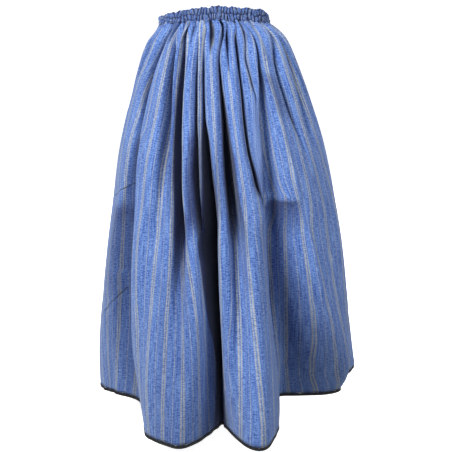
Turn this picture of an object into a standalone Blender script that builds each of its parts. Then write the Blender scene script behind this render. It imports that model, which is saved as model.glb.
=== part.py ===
# Gathered skirt: two cloth panels, a ruched waistband and a bound hem.
# Metres, +Z up, the front faces -Y, the origin is the centre of the waist.
import math

import bpy

for old in list(bpy.data.objects):
    bpy.data.objects.remove(old, do_unlink=True)

# Sizes
WALL = 0.0015  # panel wall, measured in plan
BIND_WALL = 0.0026
SEAM_GAP = 0.0003
BIND_TALL = 0.0072
PUCKERS = 84
BAND_IN = 0.0045  # band lining face, inside the waist line
BAND_LOW = 0.0012
BAND_RISE = 0.0042
LENGTH = 0.95  # from the band's lower edge to the binding, as the drops count it
GATHER_START = 0.12  # share of a fold's depth at the band
GATHER_FULL = 0.06  # drop where a fold has its whole depth
PUCKER_MEAN, PUCKER_SWAY, PUCKER_TURN = 0.82, 0.18, 15.5  # uneven pucker heights round the band

# Heights below the waist line where the shape is stated, and the shape there
DROPS = (0.0, 0.018, 0.042, 0.09, 0.185, 0.31, 0.435, 0.56, 0.69, 0.82, 0.95)
HALF_WIDE = (0.131, 0.1495, 0.1690, 0.1890, 0.2190, 0.2520, 0.2740, 0.2930, 0.3075, 0.3200, 0.3270)
HALF_DEEP = (0.102, 0.1210, 0.1410, 0.1660, 0.2030, 0.2430, 0.2690, 0.2920, 0.3100, 0.3250, 0.3360)
LEAN = (0.0, 0.005, 0.0055, 0.006, 0.0085, 0.0105, 0.0135, 0.012, 0.0095, 0.007, 0.005)

# Main folds. Columns: name, angles in degrees and depths in mm at the six
# drops of FOLD_DROPS, left and right half width in mm at the top, the same
# at the hem, how late they widen, how steep the walls are.
FOLD_DROPS = (0.03, 0.13, 0.27, 0.45, 0.70, 0.95)
MAIN = (
    ("left main", (-57, -57, -58.5, -61, -65, -69), (30, 28, 24, 42, 76, 100), (7, 7), (84, 136), 3, 3),
    ("slot A", (-30, -28, -27, -25, -24, -28), (36, 54, 68, 60, 18, 4), (7, 7), (26, 26), 2, 4),
    ("slot B", (-19, -15.5, -15, -12.4, -8.5, -9), (34, 52, 70, 82, 46, 0), (6, 6), (16, 12), 2, 4),
    ("centre", (-10.5, -10.5, -8.5, -7.3, -5.5, -4.5), (36, 56, 84, 104, 150, 190), (7, 8), (43, 46), 6, 3),
    ("slot C", (6, 2, 3.3, 4.3, 2.8, 5), (34, 48, 66, 50, 24, 8), (7, 7), (22, 26), 1.5, 4),
    ("right narrow", (22, 18, 16, 20, 17, 17), (32, 42, 42, 16, 2, 0), (6, 6), (20, 20), 3, 3),
    ("right main", (46, 32, 27.5, 28, 40, 66), (36, 48, 58, 72, 132, 192), (7, 9), (206, 66), 3, 4),
    ("back right", (105, 107, 112, 121, 131, 139), (34, 36, 38, 50, 90, 124), (7, 7), (46, 34), 3, 3),
    ("back mid right", (136, 139, 143, 149, 155, 162), (34, 34, 46, 62, 78, 92), (7, 7), (26, 30), 3, 3),
    ("back mid", (170, 172, 175, 178, 182, 185), (36, 46, 64, 84, 104, 122), (7, 7), (32, 38), 3, 3),
    ("back mid left", (214, 213, 212, 208, 206, 207), (34, 40, 52, 62, 82, 96), (7, 7), (28, 30), 3, 3),
    ("back left", (247, 246, 243, 240, 236, 233), (36, 42, 56, 70, 92, 116), (7, 7), (34, 32), 3, 3),
)

# Short gathers. Columns: name, angle at the band, angle where it dies out,
# angle kept at the hem, depth in mm, half width in mm, drop where it dies out.
SHORT = (
    ("g left edge", -74, -84, -83, 30, 7, 0.21),
    ("g left", -39, -38, -46, 28, 7, 0.24),
    ("g centre", -4.5, -4, 0, 14, 4, 0.09),
    ("g right a", 13, 9, 11, 22, 5, 0.14),
    ("g right c", 33.5, 24.4, 27.5, 28, 6, 0.18),
    ("g side a", 60, 56, 78, 32, 7, 0.34),
    ("g side b", 72, 76, 87, 30, 7, 0.30),
    ("g side c", 82, 85, 95, 26, 7, 0.20),
    ("g side d", 96, 99, 118, 28, 7, 0.26),
    ("g back a", 115, 121, 141, 30, 7, 0.25),
    ("g back b", 125.5, 131, 149, 32, 7, 0.38),
    ("g back c", 147, 151, 166, 30, 7, 0.22),
    ("g back d", 158.5, 163, 174, 32, 7, 0.40),
    ("g back e", 181, 185, 189.5, 30, 7, 0.30),
    ("g back f", 192, 194, 194.5, 32, 7, 0.24),
    ("g back g", 203, 202.5, 200, 30, 7, 0.36),
    ("g back h", 225, 222, 220, 30, 7, 0.42),
    ("g back i", 236, 231, 226, 28, 7, 0.22),
    ("g back j", 258, 255, 245, 32, 7, 0.34),
    ("g back k", 268.5, 266, 256, 30, 7, 0.22),
)
SEAMS = (("left seam", (-82, -90, -91, -91, -92, -93)), ("right seam", (89, 91, 93, 97, 102, 107)))

# Broad lobes and hollows that grow toward the hem.
# Columns: angle, rise in mm, half width in degrees.
LOBES = (
    (112, 50, 15), (90, -32, 9), (12, 50, 8), (-17, 30, 9), (-33, 6, 9),
    (147, 10, 11), (195, 6, 12), (-142, 10, 13), (-97, 18, 10),
)

# Hem line. Columns: angle, lift in mm, half width in degrees.
HEM_LOW = -0.950
HEM_LIFT = ((-92, 26, 30), (112, 46, 17), (180, 10, 50), (-30, -6, 20), (14, -4, 12), (75, 12, 20))

RINGS = (0.0, 0.018, 0.042, 0.08, 0.13, 0.19, 0.27, 0.36, 0.46, 0.57, 0.70, 0.83, 0.95)
FRACTIONS = (0.0, 0.12, 0.29, 0.5, 0.71, 0.88)


def between(xs, ys, x):
    # Smooth curve through the stated values
    if x <= xs[0]:
        return ys[0]
    if x >= xs[-1]:
        return ys[-1]
    k = 0
    while x > xs[k + 1]:
        k += 1
    slopes = []
    for i in (k, k + 1):
        lo, hi = max(i - 1, 0), min(i + 1, len(xs) - 1)
        slopes.append((ys[hi] - ys[lo]) / (xs[hi] - xs[lo]))
    h = xs[k + 1] - xs[k]
    t = (x - xs[k]) / h
    return (
        ys[k] * (2 * t**3 - 3 * t**2 + 1)
        + ys[k + 1] * (3 * t**2 - 2 * t**3)
        + h * slopes[0] * (t**3 - 2 * t**2 + t)
        + h * slopes[1] * (t**3 - t**2)
    )


def ease(t):
    t = min(max(t, 0.0), 1.0)
    return t * t * (3 - 2 * t)


def oval(drop, angle):
    a, b = between(DROPS, HALF_WIDE, drop), between(DROPS, HALF_DEEP, drop)
    s, c = math.sin(math.radians(angle)), math.cos(math.radians(angle))
    return a * b / math.hypot(b * s, a * c)


def folds_at(drop):
    # (angle, depth, left half width, right half width, steepness, radius) of each
    start = GATHER_START + (1 - GATHER_START) * ease(drop / GATHER_FULL)
    out = []
    for name, angles, depths, top, hem, late, steep in MAIN:
        angle = between(FOLD_DROPS, angles, drop)
        depth = max(between(FOLD_DROPS, depths, drop), 0.0) * start / 1000
        grow = (drop / LENGTH) ** late
        left = (top[0] + (hem[0] - top[0]) * grow) / 1000
        right = (top[1] + (hem[1] - top[1]) * grow) / 1000
        out.append((angle, depth, left, right, steep, oval(drop, angle)))
    for name, first, last, low, depth, half, end in SHORT:
        angle = first + (last - first) * ease(drop / end)
        angle += (low - last) * ease((drop - end * 0.6) / (LENGTH - end * 0.6))
        fade = 1 - ease((drop - 0.45 * end) / (0.55 * end))
        half /= 1000
        out.append((angle, depth * start * fade / 1000, half, half, 3, oval(drop, angle)))
    return out


def radius(drop, angle, folds):
    r = oval(drop, angle)
    grow = (drop / LENGTH) ** 3
    for centre, rise, half in LOBES:
        gap = (angle - centre + 180) % 360 - 180
        r += rise / 1000 * grow * math.exp(-((gap / half) ** 2))
    cut = 0.0
    for centre, depth, left, right, steep, size in folds:
        gap = (angle - centre + 180) % 360 - 180
        if abs(gap) < 100 and depth > 0:
            away = math.radians(abs(gap)) * size / (left if gap < 0 else right)
            cut += depth / (1 + away**steep)
    return r - cut


def hem_height(angle):
    # The hem is lowest in front and lifts at the sides and the right corner
    lift = 0.0
    for centre, rise, half in HEM_LIFT:
        gap = (angle - centre + 180) % 360 - 180
        lift += rise / 1000 * math.exp(-((gap / half) ** 2))
    return HEM_LOW + lift


def band_low(angle):
    c = math.cos(math.radians(angle))
    return -0.0085 + 0.004 * max(c, 0.0) - 0.001 * math.sin(math.radians(angle))


def band_high(angle):
    c = math.cos(math.radians(angle))
    bump = math.sin(math.radians(7 * angle)) + math.sin(math.radians(17 * angle + 40))
    return 0.0105 + (0.014 if c > 0 else 0.006) * c * c + 0.0008 * bump


def height(drop, angle):
    top, low = band_low(angle) - SEAM_GAP, hem_height(angle) + BIND_TALL + SEAM_GAP
    return top + (low - top) * drop / LENGTH


def lines_at(drop):
    # Angles of every fold line and seam, in order round the skirt
    rows = [(m[0], between(FOLD_DROPS, m[1], drop)) for m in MAIN]
    for name, first, last, low, depth, half, end in SHORT:
        angle = first + (last - first) * ease(drop / end)
        rows.append((name, angle + (low - last) * ease((drop - end * 0.6) / (LENGTH - end * 0.6))))
    rows += [(s[0], between(FOLD_DROPS, s[1], drop)) for s in SEAMS]
    return dict(rows)


def order():
    tops = lines_at(0.0)
    names = sorted(tops, key=lambda n: tops[n])
    return names[names.index("left seam"):] + names[: names.index("left seam")]


def angles_between(drop, first, last):
    names = order()
    at = lines_at(drop)
    if last == "left seam":
        names = names[names.index(first):] + ["left seam"]
    else:
        names = names[names.index(first): names.index(last) + 1]
    row = []
    for k in range(len(names) - 1):
        low, high = at[names[k]], at[names[k + 1]]
        while high < low:
            high += 360
        row += [low + (high - low) * f for f in FRACTIONS]
    row.append(high)
    return row


def ring(drop, angles):
    folds = folds_at(drop)
    lean = between(DROPS, LEAN, drop)
    points = []
    for angle in angles:
        r = radius(drop, angle, folds)
        a = math.radians(angle)
        points.append((lean + r * math.sin(a), -r * math.cos(a)))
    return points


def offset(points, by, closed=False):
    # Move a plan line outward by the given distance, corners mitred
    out = []
    n = len(points)
    for i, (x, y) in enumerate(points):
        sides = []
        if closed or i > 0:
            px, py = points[i - 1]
            sides.append((x - px, y - py))
        if closed or i < n - 1:
            qx, qy = points[(i + 1) % n]
            sides.append((qx - x, qy - y))
        normals = []
        for dx, dy in sides:
            size = math.hypot(dx, dy)
            normals.append((dy / size, -dx / size))
        nx, ny = sum(m[0] for m in normals), sum(m[1] for m in normals)
        size = math.hypot(nx, ny)
        nx, ny = nx / size, ny / size
        lean = max(nx * normals[0][0] + ny * normals[0][1], 0.45)
        out.append((x + nx * by / lean, y + ny * by / lean))
    return out


def add(name, points, faces, colour, rough):
    mesh = bpy.data.meshes.new(name)
    mesh.from_pydata(points, [], faces)
    mesh.validate()
    material = bpy.data.materials.new(name)
    material.use_nodes = True
    shader = material.node_tree.nodes["Principled BSDF"]
    shader.inputs["Base Color"].default_value = (*colour, 1)
    shader.inputs["Roughness"].default_value = rough
    mesh.materials.append(material)
    for face in mesh.polygons:
        face.use_smooth = True
    thing = bpy.data.objects.new(name, mesh)
    bpy.context.collection.objects.link(thing)
    return thing


def panel(name, first, last, colour):
    # A cloth wall from the band to the binding, closed along all four edges
    points, faces = [], []
    rows = []
    for drop in RINGS:
        angles = angles_between(drop, first, last)
        spine = ring(drop, angles)
        # both ends step back so that the seams stay a hair apart
        for end, inner in ((0, 1), (-1, -2)):
            dx = spine[inner][0] - spine[end][0]
            dy = spine[inner][1] - spine[end][1]
            f = 0.5 * SEAM_GAP / math.hypot(dx, dy)
            spine[end] = (spine[end][0] + f * dx, spine[end][1] + f * dy)
        outer, inner = offset(spine, WALL / 2), offset(spine, -WALL / 2)
        levels = [height(drop, a) for a in angles]
        rows.append((outer, inner, levels))
    wide = len(rows[0][0])
    for side in (0, 1):
        for row in rows:
            points += [(p[0], p[1], z) for p, z in zip(row[side], row[2])]
    tall = len(rows)

    def at(side, j, i):
        return side * tall * wide + j * wide + i

    for j in range(tall - 1):
        for i in range(wide - 1):
            quad = (at(0, j, i), at(0, j + 1, i), at(0, j + 1, i + 1), at(0, j, i + 1))
            faces.append(quad)
            quad = (at(1, j, i), at(1, j, i + 1), at(1, j + 1, i + 1), at(1, j + 1, i))
            faces.append(quad)
    for i in range(wide - 1):
        faces.append((at(0, 0, i), at(0, 0, i + 1), at(1, 0, i + 1), at(1, 0, i)))
        b = tall - 1
        faces.append((at(0, b, i), at(1, b, i), at(1, b, i + 1), at(0, b, i + 1)))
    for j in range(tall - 1):
        faces.append((at(0, j, 0), at(1, j, 0), at(1, j + 1, 0), at(0, j + 1, 0)))
        e = wide - 1
        faces.append((at(0, j, e), at(0, j + 1, e), at(1, j + 1, e), at(1, j, e)))
    return add(name, points, faces, colour, 0.85)


def tube(name, loops, colour):
    # Closed rings of points joined into one solid ring
    points = [p for loop in loops for p in loop]
    n, m = len(loops[0]), len(loops)
    faces = []
    for k in range(m):
        for i in range(n):
            j, l = (i + 1) % n, (k + 1) % m
            faces.append((k * n + i, l * n + i, l * n + j, k * n + j))
    return add(name, points, faces, colour, 0.8)


# Cloth panels
CLOTH = (0.20, 0.27, 0.36)
panel("skirt_front", "left seam", "right seam", CLOTH)
panel("skirt_back", "right seam", "left seam", CLOTH)

# Ruched waistband: puckered outside, plain inside, a stitch line half way up
loops = []
steps = 2 * PUCKERS
ROWS = ((0.0, 0.35), (0.22, 1.0), (0.47, 0.30), (0.75, 1.0), (1.0, 0.45))
for part, swell in ROWS:
    loop = []
    for i in range(steps):
        angle = 360 * i / steps
        a = math.radians(angle)
        wave = PUCKER_MEAN + PUCKER_SWAY * math.sin(PUCKER_TURN * a + i)
        out = BAND_LOW + (BAND_RISE if i % 2 else 0.0) * swell * wave
        r = oval(0.0, angle) + out
        z = band_low(angle) + (band_high(angle) - band_low(angle)) * part
        loop.append((r * math.sin(a), -r * math.cos(a), z))
    loops.append(loop)
for part in (1.0, 0.0):
    loop = []
    for i in range(steps):
        angle = 360 * i / steps
        a = math.radians(angle)
        r = oval(0.0, angle) - BAND_IN
        z = band_low(angle) + (band_high(angle) - band_low(angle)) * part
        loop.append((r * math.sin(a), -r * math.cos(a), z))
    loops.append(loop)
tube("waistband", loops[::-1], (0.21, 0.28, 0.37))

# Hem binding, one ring under both panels
angles = angles_between(LENGTH, "left seam", "right seam")[:-1]
angles += angles_between(LENGTH, "right seam", "left seam")[:-1]
spine = ring(LENGTH, angles)
wide, slim = offset(spine, BIND_WALL / 2, True), offset(spine, -BIND_WALL / 2, True)
low = [hem_height(a) for a in angles]
loops = []
for line, lift in ((slim, 0.0), (slim, BIND_TALL), (wide, BIND_TALL), (wide, 0.0)):
    loops.append([(p[0], p[1], z + lift) for p, z in zip(line, low)])
tube("hem_binding", loops, (0.012, 0.012, 0.014))
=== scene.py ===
import math

import bmesh
import bpy
import numpy as np
from mathutils import Matrix, Vector


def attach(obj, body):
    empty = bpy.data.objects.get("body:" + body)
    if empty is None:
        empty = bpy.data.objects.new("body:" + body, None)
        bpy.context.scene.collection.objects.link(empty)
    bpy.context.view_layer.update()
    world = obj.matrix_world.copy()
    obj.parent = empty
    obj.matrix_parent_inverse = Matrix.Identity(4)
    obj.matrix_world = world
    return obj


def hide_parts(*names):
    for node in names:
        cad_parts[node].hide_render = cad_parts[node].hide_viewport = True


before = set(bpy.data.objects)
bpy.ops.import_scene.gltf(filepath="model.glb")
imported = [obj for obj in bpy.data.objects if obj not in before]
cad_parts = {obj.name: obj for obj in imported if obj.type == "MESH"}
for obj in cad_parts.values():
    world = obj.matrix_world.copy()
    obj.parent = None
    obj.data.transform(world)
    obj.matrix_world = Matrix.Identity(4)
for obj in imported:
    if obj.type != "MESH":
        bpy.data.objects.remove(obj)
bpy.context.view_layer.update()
bpy.ops.object.select_all(action="DESELECT")
bpy.context.scene.view_settings.view_transform = "Standard"


def addObject(name, data):
    made = bpy.data.objects.new(name, data)
    bpy.context.collection.objects.link(made)
    return made


# The photo's viewing angle: eye height just under the waist, looking slightly down
viewFrom = {
    "place": (0.015, -2.27, -0.12),
    "pitchDown": 9.6,
    "roll": -1.5,
    "lens": 73.27,
}
cameraData = bpy.data.cameras.new("photoCamera")
cameraData.lens = viewFrom["lens"]
cameraData.sensor_width = 36
cameraData.clip_start = 0.05
camera = addObject("photoCamera", cameraData)
camera.matrix_world = (
    Matrix.Translation(viewFrom["place"])
    @ Matrix.Rotation(math.radians(90 - viewFrom["pitchDown"]), 4, "X")
    @ Matrix.Rotation(math.radians(viewFrom["roll"]), 4, "Z")
)
bpy.context.scene.camera = camera
print("camera placed")

# Heights below the waist line, and the skirt's half width, half depth and sideways lean there
form = {
    "drops": (0.0, 0.018, 0.042, 0.09, 0.185, 0.31, 0.435, 0.56, 0.69, 0.82, 0.95),
    "halfWide": (0.131, 0.1495, 0.1690, 0.1890, 0.2190, 0.2520, 0.2740, 0.2930, 0.3075, 0.3200, 0.3270),
    "halfDeep": (0.102, 0.1210, 0.1410, 0.1660, 0.2030, 0.2430, 0.2690, 0.2920, 0.3100, 0.3250, 0.3360),
    "lean": (0.0, 0.005, 0.0055, 0.006, 0.0085, 0.0105, 0.0135, 0.012, 0.0095, 0.007, 0.005),
    "length": 0.95,
    "panelWide": 1.45,  # each panel as cut, seam to seam
    "panelLong": 0.98,
    "wall": 0.0008,
    "seamGap": 0.0003,
    "bindTall": 0.0072,  # the folded tape at the hem
    "bindWall": 0.0026,
    "hemLow": -0.950,
}

# Main folds: angles in degrees and depths in mm at six drops, half widths in mm
# at top and hem (left, right), how late they widen, how steep the walls are
foldDrops = (0.03, 0.13, 0.27, 0.45, 0.70, 0.95)
mainFolds = {
    "leftMain": ((-57, -57, -58.5, -61, -65, -69), (12, 14, 24, 42, 76, 100), (5, 5), (84, 136), 3, 3),
    "centreLow": ((-10.5, -10.5, -8.5, -7.3, -5.5, -4.5), (0, 0, 0, 10, 128, 136), (7, 8), (43, 46), 6, 3),
    "rightLow": ((46, 34, 30, 31, 43.5, 66), (0, 0, 0, 6, 116, 192), (7, 9), (200, 66), 3, 5),
    "backRight": ((105, 107, 112, 121, 131, 139), (34, 36, 38, 50, 90, 124), (5, 5), (46, 34), 3, 3),
    "backMidRight": ((136, 139, 143, 149, 155, 162), (34, 34, 46, 62, 78, 92), (5, 5), (26, 30), 3, 3),
    "backMid": ((170, 172, 175, 178, 182, 185), (36, 46, 64, 84, 104, 122), (5, 5), (32, 38), 3, 3),
    "backMidLeft": ((214, 213, 212, 208, 206, 207), (34, 40, 52, 62, 82, 96), (5, 5), (28, 30), 3, 3),
    "backLeft": ((247, 246, 243, 240, 236, 233), (36, 42, 56, 70, 92, 116), (5, 5), (34, 32), 3, 3),
}
# Slots between the front folds as the photo shows them: drop, angles of both lips, depth in mm
photoSlots = {
    "slotA": (
        (0, -35, -33.6, 9), (0.04, -31, -29, 26), (0.11, -30, -27.2, 44), (0.16, -29.9, -26.6, 56),
        (0.225, -29, -25.4, 72), (0.3, -27.3, -23.5, 88), (0.38, -26.2, -22.6, 86),
        (0.435, -25.3, -21.3, 66), (0.51, -24.3, -19.9, 34), (0.62, -23.6, -19, 11),
        (0.75, -23.4, -18.6, 3), (0.95, -24.5, -17.5, 0),
    ),
    "slotB": (
        (0, -19.9, -18.8, 8), (0.05, -17.8, -16.2, 24), (0.137, -17.2, -15.6, 42),
        (0.19, -16.6, -15, 52), (0.226, -16.2, -14.6, 60), (0.27, -15.6, -13.6, 70),
        (0.338, -16.2, -13.1, 80), (0.384, -15.6, -12.8, 74), (0.44, -14.2, -12.2, 50),
        (0.5, -12.9, -11.9, 0), (0.62, -11, -10, 0), (0.75, -9.8, -8.8, 0), (0.95, -9.5, -8.5, 0),
    ),
    "centre": (
        (0, -12.3, -10.9, 9), (0.04, -12.3, -10.9, 26), (0.13, -11.7, -10.2, 46),
        (0.16, -11.4, -9.9, 56), (0.226, -11.1, -8.8, 72), (0.27, -11.2, -7.1, 88),
        (0.36, -10.6, -5.5, 118), (0.45, -10.9, -4.7, 132), (0.5, -11.6, -5, 132),
        (0.546, -10.2, -4.5, 126), (0.615, -8.9, -4.1, 112), (0.68, -7.9, -3.7, 94),
        (0.76, -6.9, -3.4, 70), (0.845, -6, -3, 40), (0.95, -5.6, -2, 14),
    ),
    "slotC": (
        (0, 8.3, 9.6, 9), (0.04, 4.3, 5.8, 24), (0.085, 1.3, 2.8, 34), (0.145, 1.3, 3, 46),
        (0.205, 1.6, 4.2, 62), (0.262, 1.7, 5.2, 80), (0.317, 1.5, 6.2, 88), (0.374, 1.5, 6.8, 80),
        (0.429, 1.9, 7.7, 60), (0.47, 2.3, 8.2, 44), (0.512, 2.6, 8.4, 34), (0.622, 2.9, 8.4, 24),
        (0.75, 2.9, 7.8, 12), (0.95, 2.6, 7, 5),
    ),
    "rightNarrow": (
        (0, 24.6, 26.2, 8), (0.046, 19, 20.8, 22), (0.1, 16.8, 18.3, 32), (0.153, 15.7, 17.3, 38),
        (0.228, 14.4, 16.4, 44), (0.3, 14.5, 16.5, 44), (0.344, 16, 18, 40), (0.377, 16.9, 18.7, 34),
        (0.411, 19.2, 20.2, 24), (0.45, 18.9, 19.9, 0), (0.6, 15.5, 16.5, 0), (0.75, 14.5, 15.5, 0),
        (0.95, 15, 16, 0),
    ),
    "rightShort": (
        (0, 29.9, 31.7, 9), (0.023, 28.1, 30.2, 22), (0.047, 26.4, 28.5, 30), (0.09, 23.2, 25.3, 30),
        (0.13, 23.6, 25.3, 26), (0.17, 24, 25.4, 8), (0.2, 23.4, 24.4, 0), (0.25, 20.6, 21.6, 0),
        (0.3, 19, 19.8, 0), (0.377, 19.6, 20.4, 0), (0.411, 20.7, 21.3, 0), (0.6, 19.8, 20.4, 0),
        (0.95, 18.8, 19.6, 0),
    ),
    "centreNotch": (
        (0, -5.4, -4.2, 9), (0.02, -5, -4, 16), (0.05, -5.6, -4.7, 14), (0.09, -6, -5, 0),
        (0.25, -4.5, -3.5, 0), (0.4, -3, -2, 0), (0.6, -2.1, -1.1, 0), (0.95, -1.5, -0.5, 0),
    ),
    "rightNotch": (
        (0, 13, 14.2, 8), (0.02, 11.4, 12.8, 18), (0.05, 9.4, 11, 17), (0.09, 8, 9.6, 9),
        (0.14, 7.6, 9, 0), (0.27, 8.5, 9.5, 0), (0.4, 9.5, 10.5, 0), (0.6, 8.5, 9.5, 0),
        (0.95, 10.5, 11.5, 0),
    ),
    "leftHigh": (
        (0, -57.4, -55.6, 9), (0.038, -54.7, -52, 24), (0.09, -56.6, -53.2, 32),
        (0.134, -58.2, -54.7, 34), (0.17, -59.8, -56.8, 26), (0.24, -61, -58, 8), (0.3, -61.5, -58.5, 0),
        (0.45, -62, -60, 0), (0.7, -66, -64, 0), (0.95, -70, -68, 0),
    ),
    "leftShade": (
        (0, -44.4, -43, 8), (0.035, -43.1, -40.9, 20), (0.094, -39.8, -36.8, 26),
        (0.156, -38.8, -34.9, 28), (0.225, -37.4, -32.4, 26), (0.32, -37, -31.4, 20),
        (0.45, -37.2, -31.6, 8), (0.6, -38, -32, 0), (0.95, -43, -37, 0),
    ),
    "lobeGap": (
        (0, -51, -49.5, 0), (0.2, -53, -51, 0), (0.34, -57, -54.5, 3), (0.42, -58, -54.8, 13),
        (0.5, -57.2, -54, 17), (0.58, -56.2, -53, 17), (0.68, -55.2, -52, 17), (0.78, -56.2, -53, 17),
        (0.88, -52.6, -49.2, 15), (0.95, -52.2, -48.8, 9),
    ),
    "rightShade": (
        (0, 37.8, 39, 6), (0.04, 36.2, 37.8, 14), (0.084, 34.2, 36.3, 18), (0.121, 31.6, 35.2, 20),
        (0.161, 28.6, 34.2, 20), (0.202, 26.2, 33, 21), (0.231, 25, 32.6, 22), (0.3, 23.2, 31.2, 24),
        (0.346, 21.9, 31.2, 27), (0.39, 21.2, 31.8, 34), (0.44, 20.8, 33.6, 46), (0.52, 19.6, 35, 48),
        (0.64, 18.6, 37, 36), (0.8, 19.2, 40, 14), (0.95, 21, 42, 0),
    ),
    "rightHigh": (
        (0, 57.6, 60, 9), (0.04, 54.8, 57.4, 22), (0.084, 49.6, 52.2, 28), (0.13, 46.6, 49.4, 28),
        (0.2, 47.2, 50, 20), (0.28, 49.8, 52.2, 7), (0.36, 51, 53.4, 0), (0.6, 53, 55, 0),
        (0.95, 59, 61, 0),
    ),
    "leftEdge": (
        (0, -76, -73, 8), (0.033, -76.6, -72, 22), (0.064, -74, -69.6, 26), (0.099, -76.2, -72, 26),
        (0.14, -83, -79, 20), (0.21, -86, -82, 0), (0.45, -86, -84, 0), (0.95, -86, -82, 0),
    ),
}
# Short gathers: angle at the band, angle and drop where they die out, hem angle, depth and half width in mm
shortGathers = {
    "sideFrontA": (67, 61, 79, 32, 7, 0.34),
    "sideFrontB": (75, 77, 87, 30, 7, 0.30),
    "sideFrontC": (83, 85.5, 95, 26, 7, 0.20),
    "sideBackA": (96, 99, 118, 28, 7, 0.26),
    "backA": (115, 121, 141, 30, 7, 0.25),
    "backB": (125.5, 131, 149, 32, 7, 0.38),
    "backC": (147, 151, 166, 30, 7, 0.22),
    "backD": (158.5, 163, 174, 32, 7, 0.40),
    "backE": (181, 185, 189.5, 30, 7, 0.30),
    "backF": (192, 194, 194.5, 32, 7, 0.24),
    "backG": (203, 202.5, 200, 30, 7, 0.36),
    "backH": (225, 222, 220, 30, 7, 0.42),
    "backI": (236, 231, 226, 28, 7, 0.22),
    "backJ": (258, 255, 245, 32, 7, 0.34),
    "backK": (268.5, 266, 256, 30, 7, 0.22),
}
# Every fold line in order round the skirt, seam to seam
foldOrder = {
    "front": (
        "leftEdge", "leftHigh", "lobeGap", "leftShade", "slotA", "slotB", "centre", "centreNotch", "slotC",
        "rightNotch", "rightNarrow", "rightShort", "rightShade", "rightHigh",
        "sideFrontA", "sideFrontB", "sideFrontC",
    ),
    "back": (
        "sideBackA", "backRight", "backA", "backB", "backMidRight", "backC", "backD", "backMid", "backE",
        "backF", "backG", "backMidLeft", "backH", "backI", "backLeft", "backJ", "backK",
    ),
}
seamAngles = {
    "left": (-82, -90, -91, -91, -92, -93),
    "right": (89, 91, 93, 97, 102, 107),
}

# Below the gathers the stripes keep to these lines, read from the photo in front:
# place across the cloth in m, then angles at the drops of grainDrops
grainDrops = (0.42, 0.50, 0.58, 0.68, 0.78, 0.88, 0.95)
grainLines = {
    "front": (
        (0.124, -65.1, -66.5, -68.6, -71.5, -75.3, -80.4, -84.4),
        (0.284, -44, -44.4, -43.8, -41.7, -41.3, -41.7, -42.5),
        (0.324, -34.5, -34, -33.5, -34.2, -34.9, -35.1, -35),
        (0.364, -27, -26.3, -25.7, -25.6, -25.4, -26.1, -26.9),
        (0.404, -25.8, -24, -21.3, -18.2, -17.1, -17, -17.6),
        (0.444, -21.6, -18.2, -14.4, -11.9, -11.3, -11.7, -12.4),
        (0.484, -14, -12.5, -10.7, -9.6, -9.3, -9.5, -9.8),
        (0.684, -3.3, -3.2, -2.5, -1.8, -1.1, -0.4, 0.2), (0.724, 5.9, 5.7, 5.8, 6, 5.7, 5.7, 5.9),
        (0.764, 9.1, 9.6, 10.2, 11, 11.9, 13, 13.5), (0.804, 17.4, 18, 18.8, 19.6, 19.9, 20.3, 21.4),
        (1.124, 27.4, 29.9, 33, 38.1, 45.7, 58.1, 69.5), (1.164, 33, 35.1, 38.5, 45, 53.6, 65, 74),
        (1.204, 39, 40, 42.4, 48.6, 57.4, 68.5, 77.8), (1.244, 43.4, 44.8, 47.3, 52.2, 60.5, 72, 82.4),
        (1.284, 57.6, 57.2, 57.4, 60, 65.4, 77, 88.5), (1.324, 71, 71.2, 70.8, 70.9, 73.4, 85, 97),
    ),
    "back": (
        (0.087, 109, 110.8, 112.8, 115.5, 118.1, 120.9, 123),
        (0.347, 135, 137.5, 139.8, 142.5, 145.1, 148, 150.5),
        (0.578, 163.5, 165.1, 166.5, 168.2, 169.8, 171.7, 173.5),
        (0.84, 193, 193.3, 193.6, 193.9, 194.5, 195.3, 196),
        (1.08, 224, 223.1, 222.2, 221.2, 220.6, 220.2, 220),
        (1.361, 255, 253.7, 252.7, 252.1, 251.5, 250.7, 250),
    ),
}
# Where spare cloth lies out of sight between those lines: angles at the same drops, half width in degrees
spareCloth = (
    (-8, -7.8, -7, -5.6, -4.6, -4.2, -4.1, 2), (22, 22, 22.5, 24.5, 28, 32, 35, 3),
    (119, 123, 126, 130, 133, 137, 139, 6), (148, 150, 152, 155, 158, 160, 162, 4),
    (178, 179, 180, 182, 183, 184, 185, 4), (209, 207, 207, 206, 206, 207, 207, 4),
    (241, 239, 238, 236, 235, 234, 233, 5),
)

# Broad lobes and hollows that grow toward the hem: angle, rise in mm, half width in degrees
hemLobes = (
    (112, 38, 15), (90, -32, 9), (12, 50, 8), (-17, 30, 9), (-33, 6, 9), (147, 10, 11), (195, 6, 12),
    (-142, 10, 13), (-97, 18, 10),
)
# Lifts of the hem line, in the same columns
hemLifts = (
    (-92, 26, 30), (110, 52, 18), (-4.5, -8, 5), (180, 10, 50), (-30, -6, 20), (14, -4, 12), (75, 12, 20),
)


def curveAt(xs, ys, x):  # smooth curve through the stated values
    if x <= xs[0]:
        return ys[0]
    if x >= xs[-1]:
        return ys[-1]
    k = 0
    while x > xs[k + 1]:
        k += 1
    slopes = []
    for i in (k, k + 1):
        low, high = max(i - 1, 0), min(i + 1, len(xs) - 1)
        slopes.append((ys[high] - ys[low]) / (xs[high] - xs[low]))
    h = xs[k + 1] - xs[k]
    t = (x - xs[k]) / h
    return (
        ys[k] * (2 * t**3 - 3 * t**2 + 1)
        + ys[k + 1] * (3 * t**2 - 2 * t**3)
        + h * slopes[0] * (t**3 - 2 * t**2 + t)
        + h * slopes[1] * (t**3 - t**2)
    )


def ease(t):
    t = np.clip(t, 0.0, 1.0)
    return t * t * (3 - 2 * t)


def rise(value, start, span):
    return ease((value - start) / span)


def fall(value, start, span):
    return 1 - ease((value - start) / span)


def turnGap(angles, centre):  # shortest turn from centre, in degrees
    return (angles - centre + 180) % 360 - 180


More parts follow.
